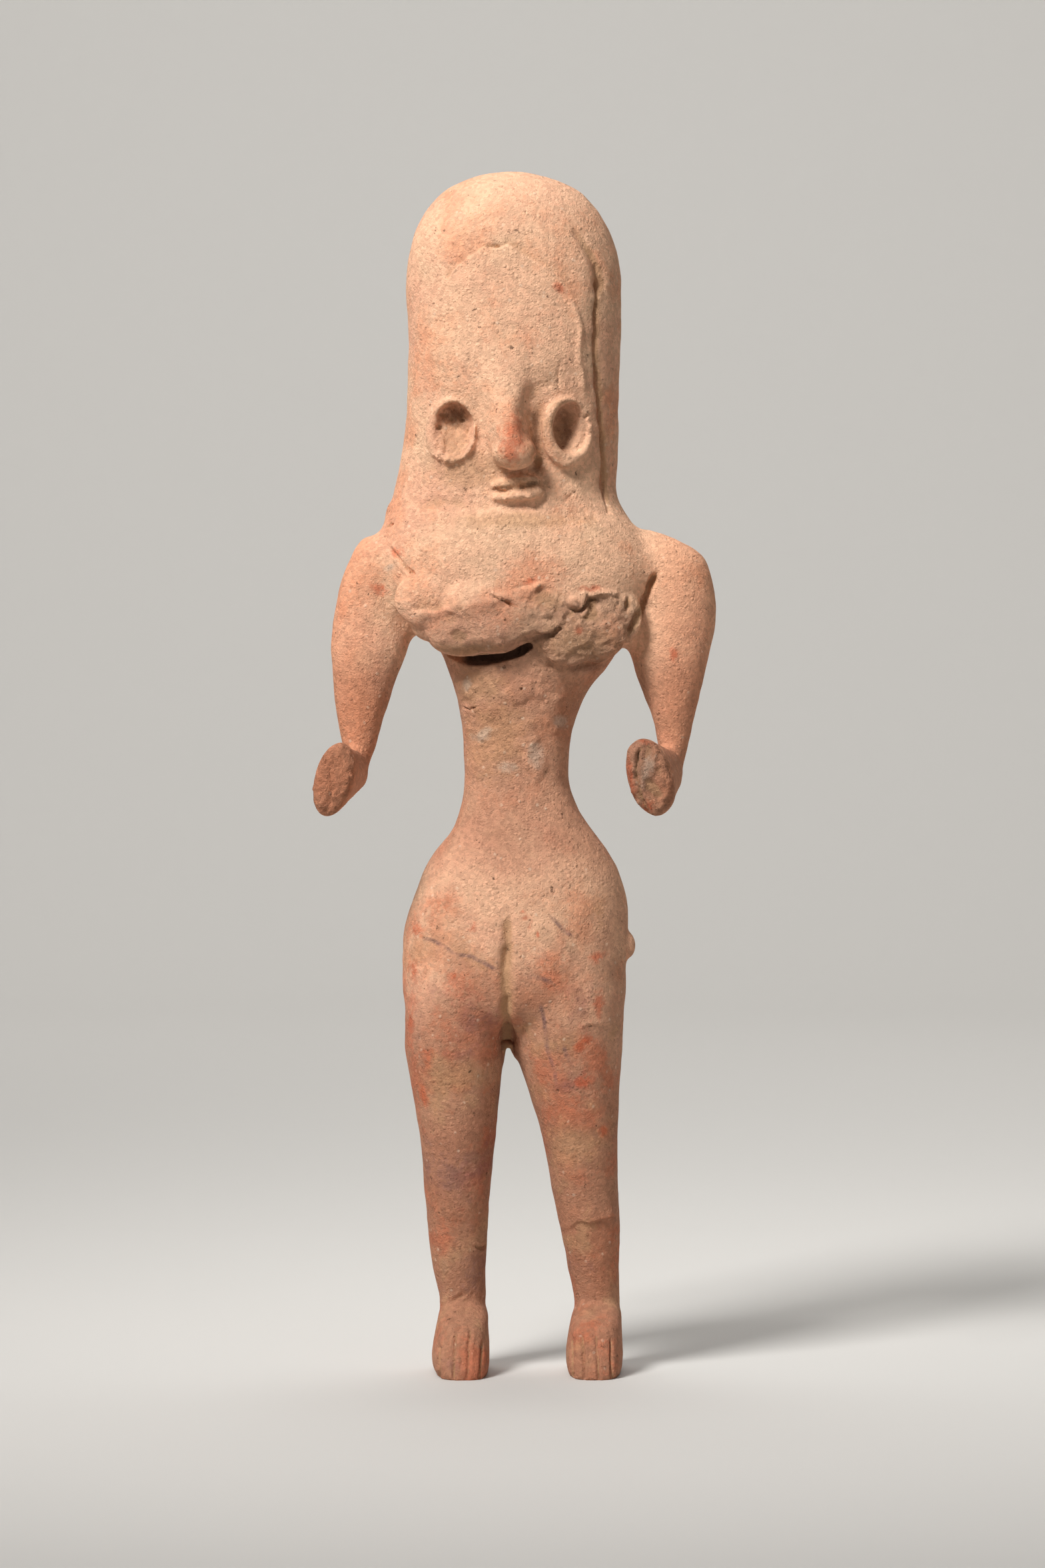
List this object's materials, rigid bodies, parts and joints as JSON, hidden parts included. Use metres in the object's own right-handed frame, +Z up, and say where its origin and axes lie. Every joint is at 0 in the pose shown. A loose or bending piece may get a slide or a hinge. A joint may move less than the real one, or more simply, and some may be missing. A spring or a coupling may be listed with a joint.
{
  "type": "terracotta fertility idol",
  "caption": "Standing nude clay idol with a tall capped head, ringed hollow eyes, beak nose, broken breasts, broken-off hands, narrow waist and scored toes.",
  "frame": {"origin": "middle of the underside of the figure's box, on the plane of its two soles", "axes": "+Z up from the soles to the crown, -Y the way the face looks, +X towards the figure's own left"},
  "size_m": [0.093, 0.0458, 0.2798],
  "materials": {
    "terracotta": "unglazed fired clay, matt, with buff soil and remains of red slip"
  },
  "bodies": {
    "root": {"idol": "terracotta"}
  },
  "joints": []
}
